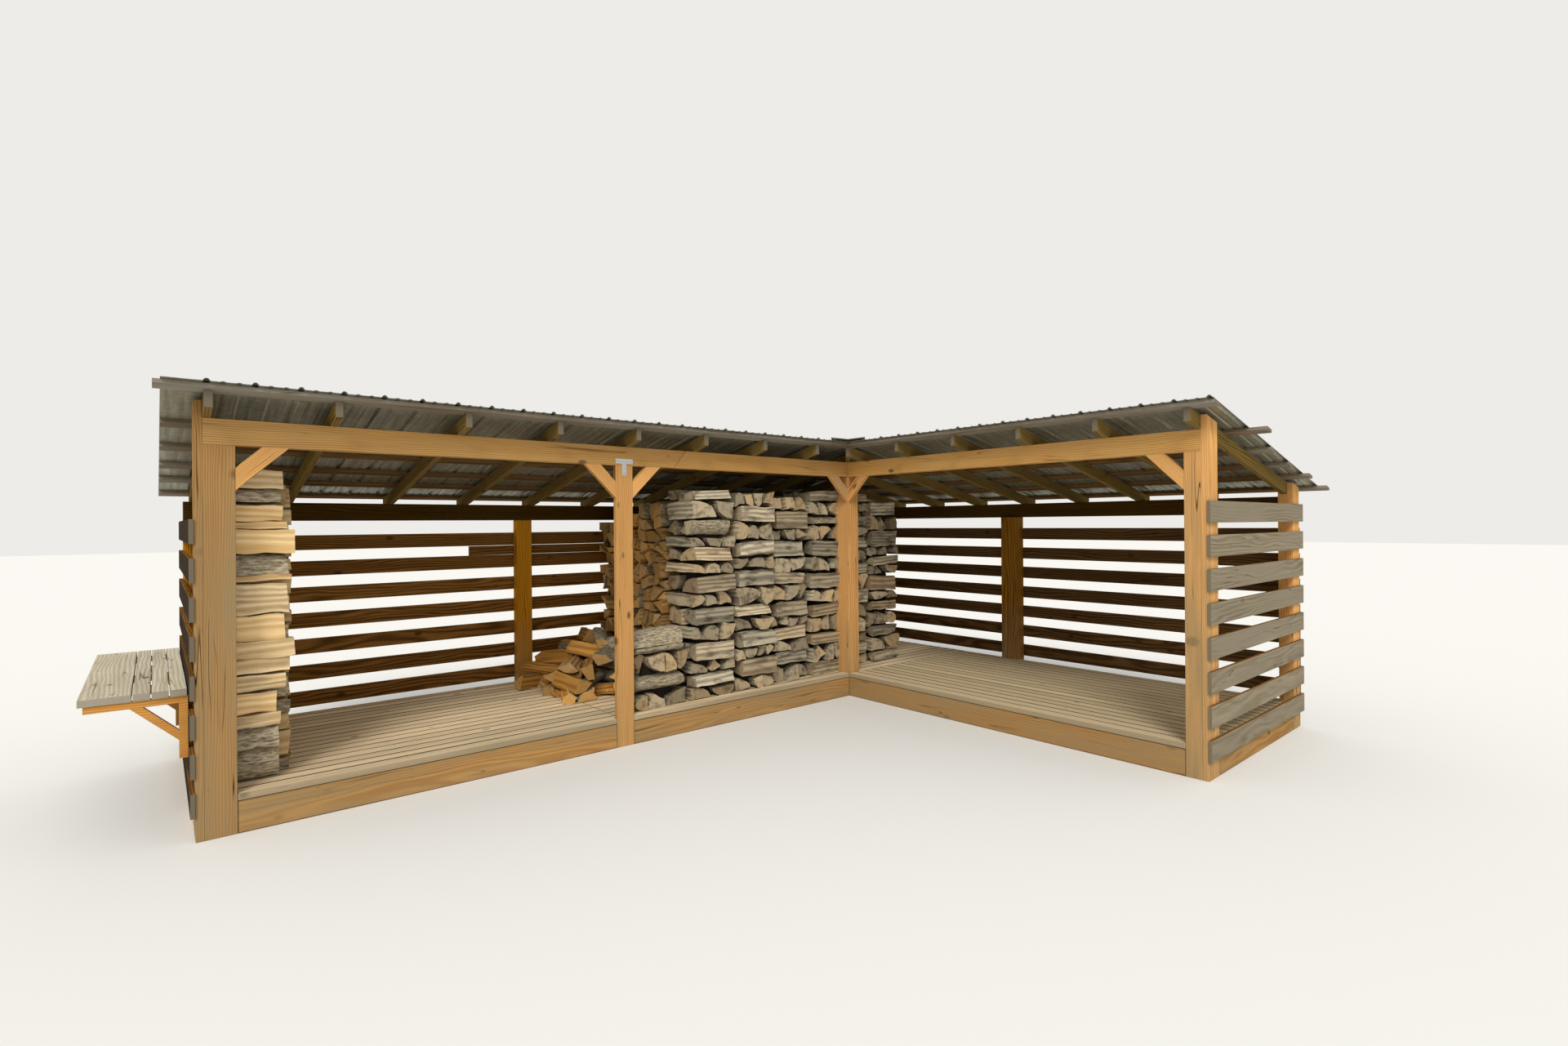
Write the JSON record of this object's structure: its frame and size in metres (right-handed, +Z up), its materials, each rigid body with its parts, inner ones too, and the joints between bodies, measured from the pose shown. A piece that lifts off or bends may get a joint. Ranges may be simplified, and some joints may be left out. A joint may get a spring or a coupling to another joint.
{
  "type": "log store",
  "caption": "L-shaped open timber log store with slatted walls, raised decks, knee braces, ribbed metal roofs, a side shelf and stacked split firewood.",
  "frame": {"origin": "middle of the corner post's foot, on the ground, where the two wings meet", "axes": "+Z up; the long left wing runs along -X, the short right wing along -Y, and both open fronts face the yard at -X and -Y"},
  "size_m": [7.4916, 5.5216, 2.4245],
  "materials": {
    "beam_timber": "satin",
    "bracket_timber": "satin",
    "deck_timber": "matte",
    "firewood": "matte",
    "galvanised_sheet": "dull galvanised",
    "galvanised_strap": "galvanised",
    "joist_timber": "matte",
    "post_timber": "satin",
    "purlin_timber": "matte",
    "rafter_timber": "satin",
    "rim_timber": "satin",
    "shelf_timber": "matte",
    "slat_timber": "matte"
  },
  "bodies": {
    "root": {"corner_post": "post_timber", "corner_post_plank": "post_timber", "firewood_end_row": "firewood", "firewood_front_crib": "firewood", "firewood_heap": "firewood", "firewood_main_stack": "firewood", "hip_cap": "galvanised_sheet", "hip_rafter": "rafter_timber", "knee_braces": "post_timber", "left_back_beam": "beam_timber", "left_back_posts": "post_timber", "left_back_slats": "slat_timber", "left_deck": "deck_timber", "left_end_post": "post_timber", "left_end_post_plank": "post_timber", "left_end_slats": "slat_timber", "left_front_beam": "beam_timber", "left_joists": "joist_timber", "left_purlins": "purlin_timber", "left_rafters": "rafter_timber", "left_rims": "rim_timber", "left_roof_sheets": "galvanised_sheet", "mid_front_post": "post_timber", "outer_corner_post": "post_timber", "patch_board": "slat_timber", "right_back_beam": "beam_timber", "right_back_end_post": "post_timber", "right_back_mid_post": "post_timber", "right_back_slats": "slat_timber", "right_deck": "deck_timber", "right_end_post": "post_timber", "right_end_post_plank": "post_timber", "right_end_slats": "slat_timber", "right_front_beam": "beam_timber", "right_joists": "joist_timber", "right_purlins": "purlin_timber", "right_rafters": "rafter_timber", "right_rims": "rim_timber", "right_roof_sheets": "galvanised_sheet", "shelf_brackets": "bracket_timber", "side_shelf": "shelf_timber", "sleepers": "joist_timber", "tee_strap": "galvanised_strap"}
  },
  "joints": []
}
